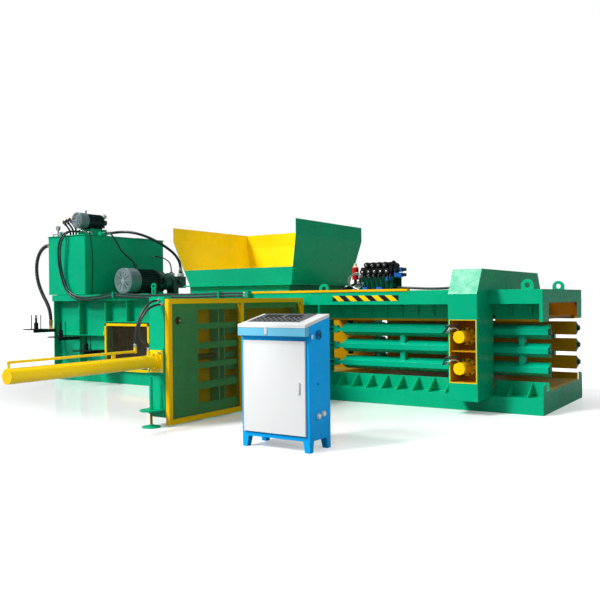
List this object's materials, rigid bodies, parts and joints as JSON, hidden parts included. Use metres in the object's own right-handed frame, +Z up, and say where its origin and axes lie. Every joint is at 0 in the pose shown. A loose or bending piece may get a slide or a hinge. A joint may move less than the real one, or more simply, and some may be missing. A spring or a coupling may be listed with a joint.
{
  "type": "recycling baler",
  "caption": "Horizontal channel baler with feed hopper, side tying unit, clamped bale channel, hydraulic power pack, wire reels and control console.",
  "frame": {"origin": "centre of the underside of the base, on the floor", "axes": "+X towards the bale outlet, +Y away from the tying unit and the operator, +Z up"},
  "size_m": [8.409, 6.27, 2.7635],
  "materials": {
    "green_paint": "gloss",
    "yellow_paint": "gloss",
    "dark_steel": "satin",
    "bright_steel": "polished",
    "cylinder_paint": "satin",
    "motor_dark": "satin",
    "motor_silver": "satin",
    "pump_iron": "satin",
    "blue_plastic": "matte",
    "reel_black": "satin",
    "hose_rubber": "matte",
    "console_blue": "gloss",
    "console_white": "gloss"
  },
  "bodies": {
    "machine_frame": {"base_frame": "green_paint", "chamber_walls": "green_paint", "channel_floor": "green_paint", "clamp_cylinders": "yellow_paint", "console_cabinet": "console_blue", "cooler_cowl": "motor_silver", "cooler_motor": "motor_dark", "cooler_pump": "pump_iron", "deck_hose": "hose_rubber", "feed_neck": "green_paint", "fixed_blade": "dark_steel", "front_hoses": "hose_rubber", "guard_frame": "yellow_paint", "guard_mesh": "yellow_paint", "hopper": "green_paint", "hose_fittings": "pump_iron", "housing_walls": "green_paint", "jack_hoses": "hose_rubber", "knotter_housing": "green_paint", "levelling_foot": "green_paint", "lifting_lugs": "green_paint", "main_cylinder": "cylinder_paint", "motor_cable": "hose_rubber", "needle_cylinder": "yellow_paint", "needle_guides": "green_paint", "oil_tank": "green_paint", "panel_pins": "dark_steel", "pump_cowl": "motor_silver", "pump_hose": "hose_rubber", "pump_motor": "motor_dark", "pump_unit": "pump_iron", "reel_arms": "reel_black", "ribbed_hose": "hose_rubber", "solenoids": "blue_plastic", "tank_hose": "hose_rubber", "tank_lid": "green_paint", "tension_frame": "green_paint", "top_beams": "green_paint", "top_deck": "green_paint", "valve_block": "pump_iron", "wire_rail": "yellow_paint"},
    "ram_unit": {"ram": "dark_steel", "ram_blade": "dark_steel", "main_rod": "bright_steel"},
    "needle_unit": {"needle_rod": "bright_steel", "needle_carriage": "green_paint"},
    "front_panel": {"front_side_panel": "green_paint"},
    "rear_panel": {"rear_side_panel": "green_paint"},
    "front_clamps": {"front_clamp_rods": "bright_steel"},
    "rear_clamps": {"rear_clamp_rods": "bright_steel"},
    "reel_left": {"wire_reel_1": "reel_black"},
    "reel_middle": {"wire_reel_2": "reel_black"},
    "reel_right": {"wire_reel_3": "reel_black"},
    "side_door": {"access_door": "yellow_paint"},
    "pump_shaft": {"pump_rotor": "bright_steel"},
    "cooler_shaft": {"cooler_rotor": "bright_steel"},
    "ball_valve_lever": {"valve_lever": "blue_plastic"},
    "cabinet_door": {"console_door": "console_white"},
    "cabinet_handle": {"door_handle": "bright_steel"},
    "cabinet_lid": {"console_lid": "console_white"}
  },
  "joints": [
    {"name": "ram_slide", "type": "slide", "parent": "machine_frame", "child": "ram_unit", "axis": [1, 0, 0], "range_m": [0, 1.8]},
    {"name": "needle_slide", "type": "slide", "parent": "machine_frame", "child": "needle_unit", "axis": [0, 1, 0], "range_m": [0, 1.475]},
    {"name": "front_panel_swing", "type": "hinge", "parent": "machine_frame", "child": "front_panel", "pos_m": [1.29, -0.64, 0.688], "axis": [0, 0, 1], "range_deg": [0, 2]},
    {"name": "rear_panel_swing", "type": "hinge", "parent": "machine_frame", "child": "rear_panel", "pos_m": [1.29, 0.64, 0.688], "axis": [0, 0, -1], "range_deg": [0, 2]},
    {"name": "front_clamp_slide", "type": "slide", "parent": "machine_frame", "child": "front_clamps", "axis": [0, 1, 0], "range_m": [0, 0.0646]},
    {"name": "rear_clamp_slide", "type": "slide", "parent": "machine_frame", "child": "rear_clamps", "axis": [0, -1, 0], "range_m": [0, 0.0646]},
    {"name": "reel_left_spin", "type": "hinge", "parent": "machine_frame", "child": "reel_left", "pos_m": [-3.911, -1.22, 0.825], "axis": [0, 0, 1], "continuous": true},
    {"name": "reel_middle_spin", "type": "hinge", "parent": "machine_frame", "child": "reel_middle", "pos_m": [-3.319, -1.22, 0.717], "axis": [0, 0, 1], "continuous": true},
    {"name": "reel_right_spin", "type": "hinge", "parent": "machine_frame", "child": "reel_right", "pos_m": [-2.744, -1.22, 0.522], "axis": [0, 0, 1], "continuous": true},
    {"name": "side_door_swing", "type": "hinge", "parent": "machine_frame", "child": "side_door", "pos_m": [-2.724, -0.878, 0.55], "axis": [0, 0, -1], "range_deg": [0, 45]},
    {"name": "pump_shaft_spin", "type": "hinge", "parent": "machine_frame", "child": "pump_shaft", "pos_m": [-2.7, -0.2, 1.575], "axis": [0, 1, 0], "continuous": true},
    {"name": "cooler_shaft_spin", "type": "hinge", "parent": "machine_frame", "child": "cooler_shaft", "pos_m": [-3.62, -0.4, 2.582], "axis": [0, 1, 0], "continuous": true},
    {"name": "valve_lever_turn", "type": "hinge", "parent": "machine_frame", "child": "ball_valve_lever", "pos_m": [-3.867, -0.77, 2.388], "axis": [0, 0, 1], "range_deg": [0, 90]},
    {"name": "cabinet_door_swing", "type": "hinge", "parent": "machine_frame", "child": "cabinet_door", "pos_m": [2.2, -3.7335, 0.53], "axis": [0, 0, -1], "range_deg": [0, 110]},
    {"name": "cabinet_handle_turn", "type": "hinge", "parent": "cabinet_door", "child": "cabinet_handle", "pos_m": [2.767, -3.72, 0.53], "axis": [0, 1, 0], "range_deg": [0, 90]},
    {"name": "cabinet_lid_swing", "type": "hinge", "parent": "machine_frame", "child": "cabinet_lid", "pos_m": [2.5125, -3.382, 1.094], "axis": [-1, 0, 0], "range_deg": [0, 60]}
  ],
  "couplings": [
    {"joint": "rear_panel_swing", "follows": "front_panel_swing", "ratio": 1},
    {"joint": "front_clamp_slide", "follows": "front_panel_swing", "m_per_rad": 1.851},
    {"joint": "rear_clamp_slide", "follows": "front_panel_swing", "m_per_rad": 1.851}
  ]
}
